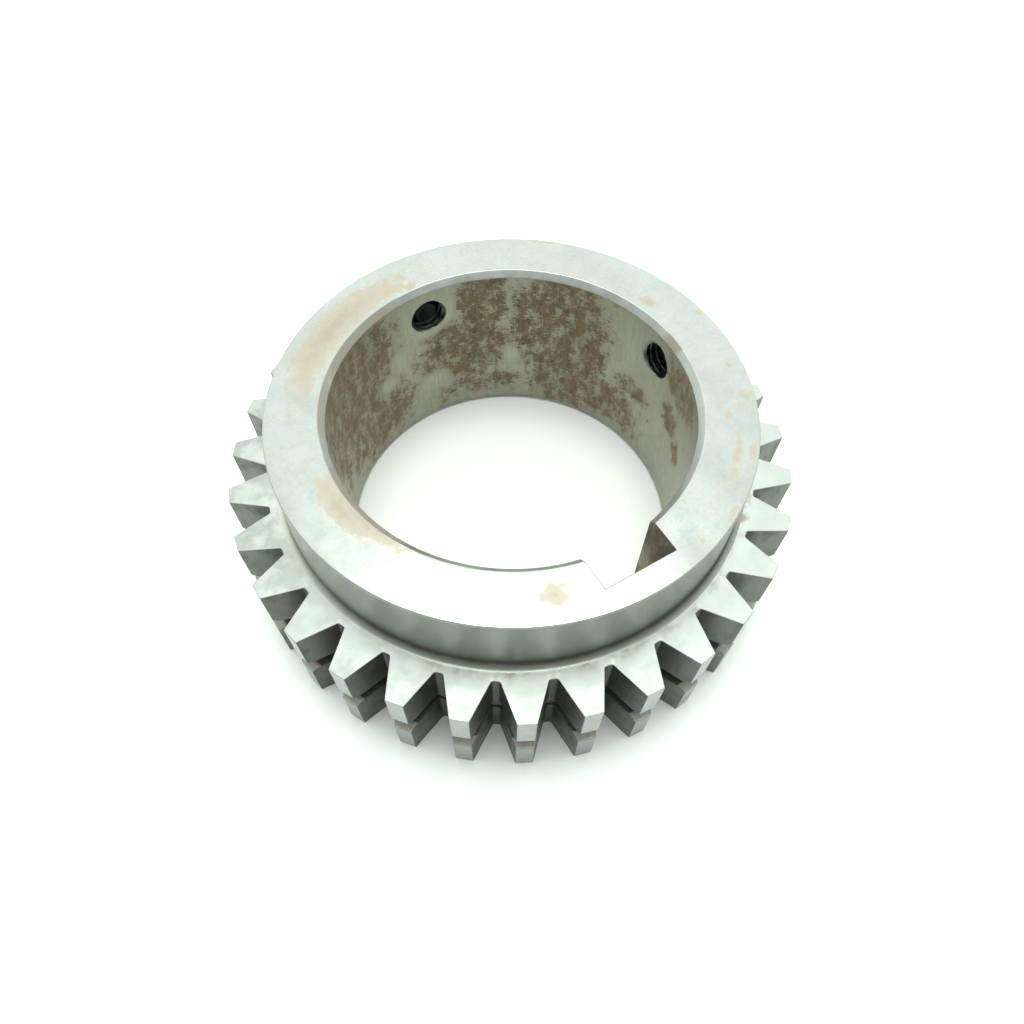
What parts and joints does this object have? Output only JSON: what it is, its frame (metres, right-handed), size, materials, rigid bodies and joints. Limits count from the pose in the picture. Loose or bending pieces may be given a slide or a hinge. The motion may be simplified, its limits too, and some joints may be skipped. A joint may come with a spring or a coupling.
{
  "type": "silent chain sprocket",
  "caption": "Steel sprocket for a centre-guide inverted-tooth chain, with straight-sided teeth, a hub on one side, a keyed bore and radial socket set screws.",
  "frame": {"origin": "on the bore axis, half way along the teeth, in the chain's centre plane", "axes": "+Z along the bore towards the hub; the keyway is on -Y, the set screws on +X and +Y"},
  "size_m": [0.1259, 0.1259, 0.0445],
  "materials": {
    "machined_steel": "turned and milled steel, oiled, with light surface rust",
    "black_oxide_steel": "black oxide"
  },
  "bodies": {
    "sprocket": {"sprocket_body": "machined_steel"},
    "side_screw": {"set_screw_side": "black_oxide_steel"},
    "opposite_screw": {"set_screw_opposite": "black_oxide_steel"}
  },
  "joints": [
    {"name": "side_screw_travel", "type": "slide", "parent": "sprocket", "child": "side_screw", "axis": [1, 0, 0], "range_m": [-0.00317, 0.00476]},
    {"name": "opposite_screw_travel", "type": "slide", "parent": "sprocket", "child": "opposite_screw", "axis": [0, 1, 0], "range_m": [-0.00159, 0.00635]}
  ]
}
